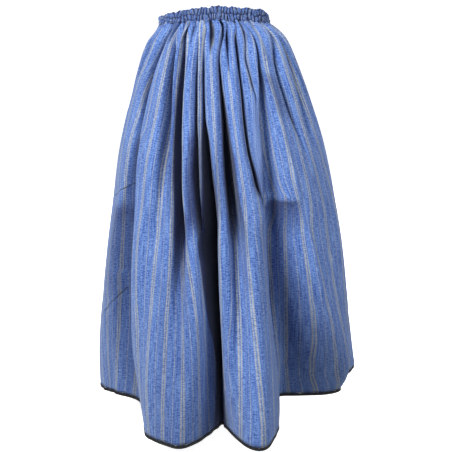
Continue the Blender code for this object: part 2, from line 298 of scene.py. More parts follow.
def bell(angles, centre, half):
    return np.exp(-((turnGap(angles, centre) / half) ** 2))


def ovalRadius(drop, angles):
    a = curveAt(form["drops"], form["halfWide"], drop)
    b = curveAt(form["drops"], form["halfDeep"], drop)
    turn = np.radians(angles)
    return a * b / np.hypot(b * np.sin(turn), a * np.cos(turn))


def foldShape(name, drop):
    # angle, depth, left and right half width in metres, and steepness of a fold at this drop
    start = 0.30 + 0.70 * ease(drop / 0.035)
    if name in photoSlots:
        path = photoSlots[name]
        drops = [p[0] for p in path]
        left = curveAt(drops, [p[1] for p in path], drop)
        right = curveAt(drops, [p[2] for p in path], drop)
        depth = max(curveAt(drops, [p[3] for p in path], drop), 0.0) / 1000
        angle = (left + right) / 2
        side = max(math.radians(right - left) / 2 * ovalRadius(drop, np.array([angle]))[0], 0.0015)
        return angle, depth * 1.15, side, side, 9 - 5 * rise(drop, *gathersEnd) * (name != "centre")
    if name in mainFolds:
        angles, depths, top, hem, late, steep = mainFolds[name]
        depth = max(curveAt(foldDrops, depths, drop), 0.0) * start / 1000
        grow = (drop / form["length"]) ** late
        left = (top[0] + (hem[0] - top[0]) * grow) / 1000
        right = (top[1] + (hem[1] - top[1]) * grow) / 1000
        return curveAt(foldDrops, angles, drop), depth, left, right, steep
    first, last, low, depth, half, end = shortGathers[name]
    angle = first + (last - first) * ease(drop / end)
    angle += (low - last) * rise(drop, end * 0.6, form["length"] - end * 0.6)
    fade = fall(drop, 0.45 * end, 0.55 * end)
    return angle, depth * start * fade / 1000, 0.7 * half / 1000, 0.7 * half / 1000, 4


# The lips of folds narrower than this are rounded: how deep and how far to each side, in metres
rounding = {"narrow": 0.025, "depth": 0.0075, "reach": 0.0062, "reachLow": 0.015}

# Painted shade in these slots, as dark as the photo shows them, at the drops listed first
shadeDrops = (0.0, 0.07, 0.15, 0.32, 0.44, 0.52, 0.62, 0.95)
slotShade = {
    "slotA": (0.6, 0.9, 1, 1, 0.92, 0.55, 0.15, 0),
    "slotB": (0.5, 0.8, 0.85, 0.62, 0.55, 0.3, 0, 0),
    "centre": (0.5, 0.6, 0.85, 0.9, 0.92, 0.97, 1, 1),
    "slotC": (0.3, 0.35, 0.9, 1, 0.7, 0.42, 0.3, 0.1),
    "lobeGap": (0, 0, 0.1, 0.3, 0.5, 0.5, 0.5, 0.4),
}


# Painted shade beside both lobes' outer edges, where the lobes keep light from the cloth, on the left lobe's
# own right half, which turns out of the light, and on the cloth beside the hooked fold: angles and half
# widths at the same drops as the slots' shade, how dark, and the drops where it starts and ends
lobeShade = (
    ((26, 26, 26, 26, 26.5, 28, 31.5, 42), (4, 4, 4, 4, 5.5, 6.5, 9, 13), 0.45, 0.405, 2.0),
    ((-66, -66, -66, -66, -68, -67, -66, -66), (10, 10, 10, 10, 14, 15, 17, 19), 0.62, 0.405, 2.0),
    ((-20, -20, -20, -20, -20, -21, -22, -22), (6, 6, 6, 6, 7, 9, 13, 16), 0.48, 0.405, 2.0),
    ((37, 37.5, 39, 42, 44, 44, 44, 44), (3, 3.5, 5.5, 7, 7, 7, 7, 7), 0.62, 0.09, 0.20),
)
# Depths in metres where the painted shade of a slot, a fold and a fold's flank starts, and over which it
# fills;
# the gathers end over the drops of gathersEnd
foldShadow = {"slot": (0.0012, 0.0095), "fold": (0.004, 0.016), "flank": (0.003, 0.018)}
# how strong the painted shade of a narrow fold and of a fold's flank is
foldShadeStrength = {"fold": 0.75, "flank": 0.55}
gathersEnd = (0.40, 0.10)


def planRadius(drop, angles):
    # Radius of the cloth's line, where it is hidden in a narrow slot, and how much painted shade it gets
    # there
    size = ovalRadius(drop, angles)
    r = size.copy()
    grow = (drop / form["length"]) ** 3
    for centre, out, half in hemLobes:
        r += out / 1000 * grow * bell(angles, centre, half)
    flat = np.ones(angles.shape)
    shown = np.ones(angles.shape)
    light = np.ones(angles.shape)
    reach = rounding["reach"] + (rounding["reachLow"] - rounding["reach"]) * ease(drop / 0.5)
    for name in list(photoSlots) + list(mainFolds) + list(shortGathers):
        centre, depth, left, right, steep = foldShape(name, drop)
        if depth <= 0:
            continue
        gap = turnGap(angles, centre)
        near = np.abs(gap) < 100
        at = ovalRadius(drop, np.array([centre]))[0]
        side = np.where(gap < 0, left, right)
        away = np.radians(np.abs(gap)) * at
        inside = depth / (1 + (away / side) ** steep)
        r -= np.where(near, inside, 0)
        if left < rounding["narrow"]:
            strong = min(1.0, depth / 0.015) * near
            flat *= 1 - strong * np.exp(-((np.maximum(away - side, 0) / reach) ** 2))
            opened = rise(drop, 0.42, 0.10) * (name in photoSlots and name != "centre")
            shown *= 1 - strong * (1 - opened) / (1 + (away / (1.15 * side)) ** 8)
        # painted shade: the centre recess's deep core, the listed slots and other narrow folds are darkened
        # where they lie deep
        if name == "centreLow":
            light *= 1 - near * ease((inside / depth - 0.80) / 0.15) * ease(depth / 0.06)
        elif name in slotShade:
            dark = curveAt(shadeDrops, slotShade[name], drop)
            light *= 1 - dark * near * rise(inside, *foldShadow["slot"]) * ease(depth / 0.012)
        else:
            narrow = foldShadeStrength["fold"] * near * fall(left, 0.005, 0.008)
            light *= 1 - narrow * rise(inside, *foldShadow["fold"])
        if left < rounding["narrow"] and name != "lobeGap":
            # painted shade on the right flank of each upper fold, which turns away from the light
            flank = depth / (1 + (away / (1.5 * side + 0.0045)) ** 3)
            turned = foldShadeStrength["flank"] * near * (gap < 0)
            light *= 1 - turned * rise(flank, *foldShadow["flank"]) * fall(drop, 0.40, 0.12)
    # painted shade beside the lobes and the hooked fold
    for middle, half, dark, starts, ends in lobeShade:
        lee = turnGap(angles, curveAt(shadeDrops, middle, drop)) / curveAt(shadeDrops, half, drop)
        light *= 1 - dark * np.exp(-np.abs(lee) ** 3) * (rise(drop, starts, 0.05) * fall(drop, ends, 0.08))
    return r - rounding["depth"] * (1 - flat) * ease(0.35 + drop / 0.04), 1 - shown, 1 - light


def hemHeight(angles):
    lift = np.zeros_like(angles, dtype=float)
    for centre, high, half in hemLifts:
        lift += high / 1000 * bell(angles, centre, half)
    return form["hemLow"] + lift


def bandLow(angles):
    turn = np.radians(angles)
    uneven = 0.0016 * np.sin(11 * turn + 1) + 0.0014 * np.sin(23 * turn + 2.2) + 0.0012 * np.sin(41 * turn)
    return -0.0085 + 0.004 * np.maximum(np.cos(turn), 0) - 0.001 * np.sin(turn) + uneven


def bandHigh(angles):
    c = np.cos(np.radians(angles))
    bump = np.sin(np.radians(7 * angles)) + np.sin(np.radians(17 * angles + 40))
    return 0.0105 + np.where(c > 0, 0.014, 0.006) * c * c + 0.0008 * bump


def heightAt(drop, angles):
    top = bandLow(angles) - form["seamGap"]
    low = hemHeight(angles) + form["bindTall"] + form["seamGap"]
    return top + (low - top) * drop / form["length"]


# Creases read from the photo. Each path is a row of (angle, drop) points, then the depth in mm
# (minus stands proud) and the half width in mm.
photoCreases = {
    "midLeftPleat": (((-23.5, 0.01), (-22.5, 0.04), (-21.5, 0.07)), 7, 3),
    "rightRidge": (
        ((29.5, 0.11), (28.3, 0.163), (24.9, 0.23), (22.5, 0.298), (21.2, 0.35), (20.7, 0.44)), -7, 5,
    ),
    "hookedFold": (((35, 0.12), (36.4, 0.2), (37.5, 0.3), (39.4, 0.365), (40, 0.44)), -5, 7),
    "rightFall": (
        ((38.4, 0.42), (42.6, 0.5), (45.3, 0.58), (49.8, 0.68), (58.3, 0.78), (68.5, 0.87)), -7, 7,
    ),
    "rightLobeRidge": (((10.8, 0.4), (9.6, 0.52), (8.4, 0.68), (7.6, 0.85)), -6, 6),
    "bentStripe": (((-18.6, 0.64), (-15.5, 0.634), (-12.6, 0.64)), 3, 5),
    "dimple": (((5.3, 0.633), (6.4, 0.641), (7.2, 0.634)), 6, 5),
    "hemDent": (((-29.5, 0.885), (-26.9, 0.893), (-24.6, 0.887)), 3.5, 6),
    "leftSlantHigh": (((-59, 0.365), (-68, 0.392), (-79, 0.416)), 2, 5),
    "leftSlantLow": (((-58, 0.61), (-69, 0.66), (-84, 0.712)), 2, 5),
    "leftFaint": (((-61.5, 0.835), (-56.5, 0.822), (-51, 0.818)), 2.5, 6),
    "rightFaint": (((42.5, 0.762), (46, 0.772), (50, 0.771)), 2.5, 6),
    "leftLobeEdge": (((-43, 0.42), (-42, 0.6), (-43.5, 0.8)), -5, 9),
    "midPanelFall": (((-20.5, 0.5), (-19.5, 0.65), (-19, 0.85)), 5, 8),
}
# The cloth hooks over itself here, along a line that tilts by so much for each degree, and sinks in
# below it, where painted shade darkens it
hookBreak = {
    "angle": 32.0,
    "half": 10.0,
    "drop": 0.414,
    "tilt": 0.00035,
    "sink": 0.004,
    "fades": 0.20,
    "dark": 0.72,
}

shapeNoise = np.random.default_rng(27)
# Faint creases all round, so that the sides and back are as uneven as the front
looseCreases = []
for number in range(64):
    angle = 40 + 5.0 * number + shapeNoise.uniform(-3, 3)
    drop = shapeNoise.uniform(0.16, 0.86)
    turn = shapeNoise.uniform(-9, 9)
    tall = shapeNoise.uniform(0.010, 0.075)
    bend = shapeNoise.uniform(-2, 2)
    path = (
        (angle - turn / 2, drop - tall / 2),
        (angle + bend, drop + shapeNoise.uniform(-0.006, 0.006)),
        (angle + turn / 2, drop + tall / 2),
    )
    depth = shapeNoise.uniform(1.2, 4.0) * (1 if number % 3 else -1)
    half = shapeNoise.uniform(4, 9)
    if angle < 268:  # the photo shows none at the front left
        looseCreases.append((path, depth, half))
for number in range(14):
    angle = -78 + 11.5 * number + shapeNoise.uniform(-3, 3)
    drop = shapeNoise.uniform(0.25, 0.86)
    turn = shapeNoise.uniform(-5, 5)
    path = ((angle - turn, drop - 0.012), (angle, drop), (angle + turn, drop + 0.014))
    looseCreases.append((path, shapeNoise.uniform(0.8, 1.8), shapeNoise.uniform(4, 7)))


def creaseCut(drop, angles, size, path, depth, half):
    reach = 3.2 * half / 1000
    lows = [p[1] for p in path]
    if drop < min(lows) - reach or drop > max(lows) + reach:
        return 0.0
    best = np.full(angles.shape, 9.0)
    fade = np.zeros(angles.shape)
    spans = len(path) - 1
    for k in range(spans):
        (startAngle, startDrop), (endAngle, endDrop) = path[k], path[k + 1]
        across = np.radians(turnGap(angles, startAngle)) * size
        spanAcross = math.radians(endAngle - startAngle) * size
        spanDown = endDrop - startDrop
        t = (across * spanAcross + (drop - startDrop) * spanDown) / (spanAcross**2 + spanDown**2)
        t = np.clip(t, 0, 1)
        away = np.hypot(across - t * spanAcross, drop - startDrop - t * spanDown)
        closer = away < best
        best = np.where(closer, away, best)
        whole = (k + t) / spans
        fade = np.where(closer, np.minimum(1, 4.5 * whole * (1 - whole) + 0.15), fade)
    return depth / 1000 * fade * np.exp(-((best * 1000 / half) ** 2))


def smallShapes(drop, angles):
    size = ovalRadius(drop, angles)
    change = np.zeros(angles.shape)
    for path, depth, half in list(photoCreases.values()) + looseCreases:
        change -= creaseCut(drop, angles, size, path, depth, half)
    below = drop - hookBreak["drop"]
    gap = turnGap(angles, hookBreak["angle"])
    beside = np.exp(-np.abs(gap / hookBreak["half"]) ** 3) * (1 - ease(below / hookBreak["fades"]))
    under = below + hookBreak["tilt"] * gap
    sink = hookBreak["sink"] * rise(under, -0.006, 0.024)
    # painted shade below the hook's line
    hookShade = hookBreak["dark"] * rise(under, -0.002, 0.006)
    return change, beside * sink, beside * hookShade


panelGrid = {"columns": 395, "samples": 6000}
endBlend = {"drop": 0.42, "span": 0.055, "reach": 0.030, "least": 0.0005}  # where the stripes are evened out
rowDrops = np.concatenate(
    [
        np.linspace(0, 0.03, 9, endpoint=False),
        np.linspace(0.03, 0.13, 18, endpoint=False),
        np.linspace(0.13, 0.95, 92),
    ]
)

# Ruched waistband: 84 puckers in two channels with a line of stitches between
band = {
    "puckers": 84,
    "steps": 14,  # mesh columns in each pucker
    "innerGap": 0.0045,
    "base": -0.0012,
    "rise": 0.0068,
    "stitchAt": 0.47,
    "clothSize": (2.9, 0.034),  # its cloth laid flat, and the height of the gathered band
}
bandLevels = (
    0.0, 0.05, 0.11, 0.17, 0.23, 0.29, 0.35, 0.40, 0.44, 0.47,
    0.50, 0.54, 0.60, 0.67, 0.75, 0.82, 0.88, 0.94, 0.98, 1.0,
)
bandSwell = (  # levels, and how far the puckers stand out there
    (0.0, 0.11, 0.23, 0.36, 0.47, 0.58, 0.72, 0.86, 1.0),
    (0.35, 0.85, 1.0, 0.85, 0.22, 0.85, 1.0, 0.85, 0.55),
)
bandNoise = np.random.default_rng(84)
puckerSize = bandNoise.uniform(0.4, 1.0, (2, band["puckers"]))
puckerShift = bandNoise.uniform(-0.42, 0.42, (2, band["puckers"] + 1))
puckerShift[:, -1] = puckerShift[:, 0]
puckerTop = bandNoise.uniform(-0.0018, 0.0030, band["puckers"])


def puckerWave(angles, channel, level):
    place = angles / 360 * band["puckers"]
    knots = np.arange(band["puckers"] + 1)
    place = place + np.interp(place, knots, puckerShift[channel])
    lean = (1.1 if channel else -0.9) * (level - 0.5) * np.sin(np.radians(13 * angles) + 2 * channel)
    place = (place + lean) % band["puckers"]
    which = place.astype(int) % band["puckers"]
    inside = place - np.floor(place)
    return puckerSize[channel][which] * np.sin(math.pi * inside) ** 0.9


# Long shallow waves in the cloth: across and down wavelengths in m, height in mm
clothWaves = []
for number in range(16):
    clothWaves.append(
        (
            shapeNoise.uniform(0.035, 0.16),
            shapeNoise.uniform(0.25, 1.1) * (1 if number % 2 else -1),
            shapeNoise.uniform(0.20, 0.55),
            shapeNoise.uniform(0, 2 * math.pi),
        )
    )


# Gathers under the band: how many round the skirt, how high in metres and how much painted shade between them
gathers = {"fine": 42, "fineHigh": 0.0036, "fineShade": 0.62, "wide": 28, "wideHigh": 0.0038, "wideShade": 0.70}


def gatherWave(angles, count):  # uneven gathers under the band
    turn = np.radians(angles)
    waver = 0.45 * np.sin(5 * turn + count) + 0.3 * np.sin(11 * turn)
    return np.sin(2 * math.pi * (count * angles / 360 + waver))


def gatherShade(angles, drop):  # painted shade in the narrow gaps between the gathers, darkest at the band
    fine = rise(-gatherWave(angles, gathers["fine"]), 0.25, 0.75) * fall(drop, 0.006, 0.034)
    wide = rise(-gatherWave(angles, gathers["wide"]), 0.35, 0.65) * fall(drop, 0.015, 0.085)
    uneven = 0.5 + 0.5 * np.sin(np.radians(13 * angles + 50))
    fine = gathers["fineShade"] * fine * (1 - 0.6 * uneven)
    wide = gathers["wideShade"] * wide * (0.35 + 0.65 * uneven)
    return ease(drop / 0.003) * np.maximum(fine, wide)


def clothLift(across, drop, angles):  # how far the cloth stands out from its smooth line
    lift = np.zeros(angles.shape)
    for wide, tall, high, phase in clothWaves:
        lift += high / 1000 * np.sin(2 * math.pi * (across / wide + drop / tall) + phase)
    lift *= ease(drop / 0.10)
    lift += 0.0052 * (puckerWave(angles, 0, 0.0) - 0.45) * (1 - ease(drop / 0.034))
    fine, wide = gatherWave(angles, gathers["fine"]), gatherWave(angles, gathers["wide"])
    lift += gathers["fineHigh"] * fine * ease(drop / 0.008) * fall(drop, 0.012, 0.055)
    lift += gathers["wideHigh"] * wide * ease(drop / 0.02) * fall(drop, 0.035, 0.095)
    return lift


def panelLine(drop, first, last):
    low = curveAt(foldDrops, seamAngles[first], drop)
    high = curveAt(foldDrops, seamAngles[last], drop)
    if high < low:
        high += 360
    angles = np.linspace(low, high, panelGrid["samples"])
    r, hidden, shade = planRadius(drop, angles)
    turn = np.radians(angles)
    along = np.concatenate([[0.0], np.cumsum(np.hypot(np.diff(r * np.sin(turn)), np.diff(r * np.cos(turn))))])
    change, back, hookShade = smallShapes(drop, angles)
    r = r + change
    # the hook's painted shade joins the folds' painted shade
    shade = np.maximum(shade, hookShade)
    x = curveAt(form["drops"], form["lean"], drop) + r * np.sin(turn)
    y = back - r * np.cos(turn)
    return angles, x, y, along, hidden, shade


widestLip = 0.012  # a wide fold counts as no wider than this, in metres from its middle


def ridgeAngles(drop, side, angles):
    # The middle of each fold's face, between the lips of its neighbours
    lips = []
    for name in foldOrder[side]:
        centre, _, left, right, _ = foldShape(name, drop)
        at = ovalRadius(drop, np.array([centre]))[0]
        left, right = (math.degrees(min(half, widestLip) / at) for half in (left, right))
        lips.append((centre - left, centre + right))
    middles = [(lips[k][1] + lips[k + 1][0]) / 2 for k in range(len(lips) - 1)]
    return np.array([angles[0]] + middles + [angles[-1]])


def grainAngles(drop, side, angles):
    lines = [curveAt(grainDrops, line[1:], drop) for line in grainLines[side]]
    return np.array([angles[0]] + lines + [angles[-1]])


def spareShare(drop, angles):  # 1 where spare cloth may lie out of sight
    share = np.zeros(angles.shape)
    for zone in spareCloth:
        gap = turnGap(angles, curveAt(grainDrops, zone[:-1], drop)) / zone[-1]
        share = np.maximum(share, np.exp(-(gap**4)))
    return share


def clothPlaces(anchors, shares, angles, along, hidden):
    # Cloth coordinate of every sample: fixed at the anchors, true to size on the faces
    # between them, and what is left over lies where it is hidden
    at = np.interp(anchors, angles, along)
    steps = np.diff(along)
    middle = (hidden[1:] + hidden[:-1]) / 2
    facePart = np.concatenate([[0.0], np.cumsum(steps * (1 - middle))])
    slotPart = np.concatenate([[0.0], np.cumsum(steps * middle)])
    face, slot = np.interp(at, along, facePart), np.interp(at, along, slotPart)
    cloth = np.zeros(angles.shape)
    for k in range(len(anchors) - 1):
        inside = (along >= at[k]) & (along <= at[k + 1])
        whole = (shares[k + 1] - shares[k]) * form["panelWide"]
        faceLong, slotLong = face[k + 1] - face[k], slot[k + 1] - slot[k]
        slotRate = 1.0
        if slotLong > 0.002:
            slotRate = min(max((whole - faceLong) / slotLong, 0.1), 9.0)
        faceRate = max((whole - slotRate * slotLong) / max(faceLong, 0.002), 0.05)
        used = faceRate * (facePart[inside] - face[k]) + slotRate * (slotPart[inside] - slot[k])
        total = faceRate * faceLong + slotRate * slotLong
        cloth[inside] = shares[k] + used / total * (shares[k + 1] - shares[k])
    return cloth


def panelRows(first, last, side):
    # Below the gathers the cloth hangs from a few grain lines. Above, each ridge keeps the place
    # in the cloth that it has where the gathers end, so that the stripes run down the folds.
    grainShare = np.array([0.0] + [line[0] / form["panelWide"] for line in grainLines[side]] + [1.0])
    fixedAt = 0.45
    angles, x, y, along, hidden, shade = panelLine(fixedAt, first, last)
    hidden = np.maximum(hidden, spareShare(fixedAt, angles))
    cloth = clothPlaces(grainAngles(fixedAt, side, angles), grainShare, angles, along, hidden)
    ridges = ridgeAngles(fixedAt, side, angles)
    ridgeShare = np.interp(ridges, angles, cloth)
    parts = np.diff(np.interp(ridges, angles, along))
    counts = np.maximum(5, np.round(parts / parts.sum() * (panelGrid["columns"] - 1))).astype(int)
    clothRows, lines = [], []
    for drop in rowDrops:
        angles, x, y, along, hidden, shade = panelLine(drop, first, last)
        ridges = ridgeAngles(drop, side, angles)
        lines.append((angles, x, y, along, shade, ridges))
        low = rise(drop, *gathersEnd)
        cloth = np.zeros(angles.shape)
        if low < 1:
            cloth += (1 - low) * clothPlaces(ridges, ridgeShare, angles, along, hidden)
        if low > 0:
            spare = np.maximum(hidden, spareShare(drop, angles))
            cloth += low * clothPlaces(grainAngles(drop, side, angles), grainShare, angles, along, spare)
        clothRows.append(cloth)
    clothRows = np.array(clothRows)
    # the short slots end at the hook, and the stripes run on evenly past their ends
    nearEnds = np.exp(-(((rowDrops - endBlend["drop"]) / endBlend["span"]) ** 2))
    reach = endBlend["least"] + endBlend["reach"] * nearEnds
    weights = np.exp(-0.5 * ((rowDrops[:, None] - rowDrops[None, :]) / reach[:, None]) ** 2)
    clothRows = weights @ clothRows / weights.sum(axis=1)[:, None]
    rows, across, shades = [], [], []
    for drop, line, cloth in zip(rowDrops, lines, clothRows):
        angles, x, y, along, shade, ridges = line
        at = np.interp(ridges, angles, along)
        places = [at[k] + np.arange(counts[k]) / counts[k] * (at[k + 1] - at[k]) for k in range(len(counts))]
        places = np.append(np.concatenate(places), along[-1])
        cloth = np.interp(places, along, cloth)
        angle = np.interp(places, along, angles)
        px, py = np.interp(places, along, x), np.interp(places, along, y)
        dx, dy = np.gradient(px), np.gradient(py)
        size = np.hypot(dx, dy)
        lift = clothLift(cloth * form["panelWide"], drop, angle)
        edge = np.minimum(1, 30 * np.minimum(cloth, 1 - cloth))
        px += dy / size * lift * edge
        py -= dx / size * lift * edge
        rows.append(np.stack([px, py, heightAt(drop, angle)], axis=1))
        across.append(cloth)
        # painted shade in the valleys under the band's puckers and between the gathers
        valley = rise(-puckerWave(angle, 0, 0.0), -0.50, 0.5) * (1 - ease(drop / 0.022))
        dark = np.maximum(0.25 + 0.6 * valley, gatherShade(angle, drop))
        shades.append(np.maximum(np.interp(places, along, shade), dark))
    return np.array(rows), np.array(across), np.array(shades)


def cornersOf(grid):  # the four corners of every cell, anticlockwise from outside
    return np.stack([grid[:-1, :-1], grid[1:, :-1], grid[1:, 1:], grid[:-1, 1:]], axis=-1)


def gridObject(name, rows, columns, downs, closed=False):
    # A piece from rows of points, with its cloth map: columns across and downs down
    tall, wide = rows.shape[:2]
    index = np.arange(tall * wide).reshape(tall, wide)
    if closed:
        index = np.concatenate([index, index[:, :1]], axis=1)
    quads = cornersOf(index).reshape(-1, 4)
    mesh = bpy.data.meshes.new(name)
    mesh.from_pydata(rows.reshape(-1, 3).tolist(), [], quads.tolist())
    layer = mesh.uv_layers.new(name="cloth")
    span = index.shape[1]
    uGrid = columns[:, :span] if columns.ndim == 2 else np.tile(columns[:span], (tall, 1))
    vGrid = np.tile(np.asarray(downs)[:, None], (1, span))
    corners = [cornersOf(grid).reshape(-1) for grid in (uGrid, vGrid)]
    layer.data.foreach_set("uv", np.stack(corners, axis=1).reshape(-1))
    mesh.polygons.foreach_set("use_smooth", [True] * len(mesh.polygons))
    mesh.update()
    return addObject(name, mesh)


def thicken(piece, amount):
    bpy.ops.object.select_all(action="DESELECT")
    bpy.context.view_layer.objects.active = piece
    piece.select_set(True)
    wall = piece.modifiers.new("clothThickness", "SOLIDIFY")
    wall.thickness = amount
    wall.offset = 0
    bpy.ops.object.modifier_apply(modifier="clothThickness")
    piece.select_set(False)


def addShade(piece, shades):  # painted shade of each point, darkest deep in closed folds, for the cloth's material
    layer = piece.data.attributes.new("foldShade", "FLOAT", "POINT")
    layer.data.foreach_set("value", shades.reshape(-1))


def closeSeams(piece):
    bm = bmesh.new()
    bm.from_mesh(piece.data)
    bmesh.ops.remove_doubles(bm, verts=bm.verts, dist=0.00001)
    bm.to_mesh(piece.data)
    bm.free()


def makePanel(name, first, last, side):  # the panel, and the points of its lower edge
    rows, columns, shades = panelRows(first, last, side)
    panel = gridObject(name, rows, columns, rowDrops / form["length"])
    addShade(panel, shades)
    thicken(panel, form["wall"])
    return panel, rows[-1][:-1]


panelFront, frontEdge = makePanel("skirtPanelFront", "left", "right", "front")
panelBack, backEdge = makePanel("skirtPanelBack", "right", "left", "back")
print("panels made", len(panelFront.data.polygons), len(panelBack.data.polygons))

bandSteps = band["puckers"] * band["steps"]
bandAngles = np.arange(bandSteps) * 360 / bandSteps


def bandTopEdge(angles):
    place = angles / 360 * band["puckers"]
    which = place.astype(int) % band["puckers"]
    bump = puckerTop[which] * np.sin(math.pi * (place - np.floor(place))) ** 0.8
    # a second layer lifts the edge at the front right, and ends in a step
    step = 0.0030 * rise(angles, 32, 8) * (angles < 100) - 0.0055 * rise(angles, 45.5, 2.5) * (angles < 100)
    settle = 0.0070 * np.exp(-(((angles - 60) / 13) ** 2)) - 0.002 * np.exp(-(((angles - 84) / 8) ** 2))
    return bandHigh(angles) + bump + step + settle


bandRows = []
bandDowns = []
bandShades = []
puckerDrip = bandNoise.uniform(0.0005, 0.0085, band["puckers"])  # how far each pucker hangs over the cloth
lowEdge, highEdge = bandLow(bandAngles), bandTopEdge(bandAngles)
ovalTop = ovalRadius(0.0, bandAngles)
bandTurn = np.radians(bandAngles)


def bandRow(out, z, down, shade, first=False):
    r = ovalTop + out
    at = 0 if first else len(bandRows)
    bandRows.insert(at, np.stack([r * np.sin(bandTurn), -r * np.cos(bandTurn), z], axis=1))
    bandDowns.insert(at, down)
    bandShades.insert(at, shade)


for level in reversed(bandLevels):
    blend = ease((level - band["stitchAt"] + 0.04) / 0.08)
    wave = puckerWave(bandAngles, 0, level) * (1 - blend) + puckerWave(bandAngles, 1, level) * blend
    # the line of stitches wavers
    waver = 0.05 * np.sin(13 * bandTurn + 0.7) + 0.04 * np.sin(29 * bandTurn)
    swell = np.interp(level + waver * level * (1 - level) * 4, bandSwell[0], bandSwell[1])
    out = band["base"] + band["rise"] * swell * wave + 0.0016 * (0.6 - swell)
    # the overlapping end of the second layer, a slanted ridge at the front right
    ridge = bell(bandAngles, 45 + 12 * (1 - level), 2.2)
    crumple = np.sin(97 * bandTurn + 7 * level + 3 * np.sin(9 * bandTurn))
    crumple = crumple * np.sin(9 * level + 5 * np.sin(23 * bandTurn))
    z = lowEdge + (highEdge - lowEdge) * level
    hang = ease((0.12 - level) / 0.12)
    which = (bandAngles / 360 * band["puckers"]).astype(int)
    z = z - hang * puckerDrip[which] * wave
    # painted shade: the band is dimmed a little all over, and more in the gaps between its puckers and in the
    # crumples' hollows
    gap = ease((0.42 - wave * swell) / 0.42)
    z = z + 0.0007 * crumple * level * (1 - level) * 4
    out = out + 0.0022 * ridge + 0.0014 * hang + 0.0009 * crumple
    bandRow(out, z, 1 - level, 0.46 + 0.50 * gap + 0.10 * (crumple < -0.3))
# over the top edge and down the inner face, with painted shade between the puckers on the top edge
topWave = puckerWave(bandAngles, 1, 1.0)
for out, lift, down in ((0.0002, 0.0007, -0.03), (-0.0022, 0.0004, -0.07), (-0.0044, -0.0016, -0.13)):
    bandRow(out + 0.0012 * topWave, highEdge + lift, down, 0.25 + 0.5 * ease((0.5 - topWave) / 0.5), True)
for level, down in ((0.66, -0.4), (0.33, -0.75), (0.0, -1.0)):
    inner = 0.0007 * puckerWave(bandAngles, 0, level) - band["innerGap"]
    bandRow(inner, lowEdge + (highEdge - lowEdge) * level, down, np.full(bandSteps, 0.25), True)
bandRows.append(bandRows[0])
bandDowns.append(1.1)
bandShades.append(bandShades[0])
bandColumns = np.arange(bandSteps + 1) / bandSteps
waistPiece = gridObject("ruchedWaistband", np.array(bandRows), bandColumns, bandDowns, closed=True)
addShade(waistPiece, np.array(bandShades))
closeSeams(waistPiece)
print("waistband made", len(waistPiece.data.polygons))

# Hem binding: a folded tape round the lower edge of both panels
hemX, hemY, hemZ = np.concatenate([frontEdge, backEdge]).T
hemZ = hemZ - form["seamGap"] - form["bindTall"]
hemDx = np.roll(hemX, -1) - np.roll(hemX, 1)
hemDy = np.roll(hemY, -1) - np.roll(hemY, 1)
hemSize = np.hypot(hemDx, hemDy)
hemNormal = np.stack([hemDy / hemSize, -hemDx / hemSize], axis=1)
hemSteps = np.concatenate([[0.0], np.cumsum(np.hypot(np.diff(hemX), np.diff(hemY)))])
hemWaves = ((0.0004, 0.031), (0.0003, 0.0127))  # height and length of the tape's small waves, in metres
hemWaver = sum(high * np.sin(hemSteps * 2 * math.pi / wide) for high, wide in hemWaves)
# Round the tape: out from the middle as a share of its wall, and height as a share of its height
tapeProfile = (
    (0.30, 1.0), (0.46, 0.93), (0.50, 0.74), (0.50, 0.45), (0.52, 0.22), (0.42, 0.07), (0.18, 0.0),
    (-0.18, 0.0), (-0.42, 0.07), (-0.52, 0.22), (-0.50, 0.45), (-0.50, 0.74), (-0.46, 0.93),
    (-0.30, 1.0), (0.30, 1.0),
)
tapeRows = []
for out, up in tapeProfile:
    x, y = np.stack([hemX, hemY]) + hemNormal.T * out * form["bindWall"]
    z = hemZ + up * form["bindTall"] + hemWaver * (up > 0.6)
    tapeRows.append(np.stack([x, y, z], axis=1))
tapeSize = {"join": 0.004, "wide": 0.02}  # the last step round to the start, and the tape's width as cut
tapeColumns = np.append(hemSteps, hemSteps[-1] + tapeSize["join"])
tapeDowns = np.linspace(0, tapeSize["wide"], len(tapeProfile))
hemPiece = gridObject("hemBindingTape", np.array(tapeRows), tapeColumns, tapeDowns, closed=True)
closeSeams(hemPiece)
print("binding made", len(hemPiece.data.polygons))


# Materials
def newGroup(name, inputs, outputs):
    tree = bpy.data.node_groups.new(name, "ShaderNodeTree")
    for label, kind, value in inputs:
        socket = tree.interface.new_socket(name=label, in_out="INPUT", socket_type=kind)
        if value is not None:
            socket.default_value = value
    for label, kind in outputs:
        tree.interface.new_socket(name=label, in_out="OUTPUT", socket_type=kind)
    return tree, tree.nodes.new("NodeGroupInput"), tree.nodes.new("NodeGroupOutput")


def put(tree, socket, value):  # a number or a colour is set, and another node's socket is linked
    if isinstance(value, bpy.types.NodeSocket):
        tree.links.new(value, socket)
    elif value is not None:
        socket.default_value = value


def addNode(tree, kind, values=None, **settings):
    node = tree.nodes.new("ShaderNode" + kind)
    for label, value in settings.items():
        setattr(node, label, value)
    for label, value in (values or {}).items():
        put(tree, node.inputs[label], value)
    return node


def sums(tree, operation, first, second=None, clamp=False):
    node = addNode(tree, "Math", operation=operation, use_clamp=clamp)
    for socket, value in zip(node.inputs, (first, second)):
        put(tree, socket, value)
    return node.outputs[0]


def weighted(tree, *pairs):  # the sum of each value times its weight
    total = None
    for value, weight in pairs:
        part = sums(tree, "MULTIPLY", value, weight)
        total = part if total is None else sums(tree, "ADD", total, part)
    return total


def vectorSum(tree, operation, first, second):
    node = addNode(tree, "VectorMath", operation=operation)
    put(tree, node.inputs[0], first)
    put(tree, node.inputs["Scale"] if operation == "SCALE" else node.inputs[1], second)
    return node.outputs["Value" if operation in ("DOT_PRODUCT", "DISTANCE") else "Vector"]


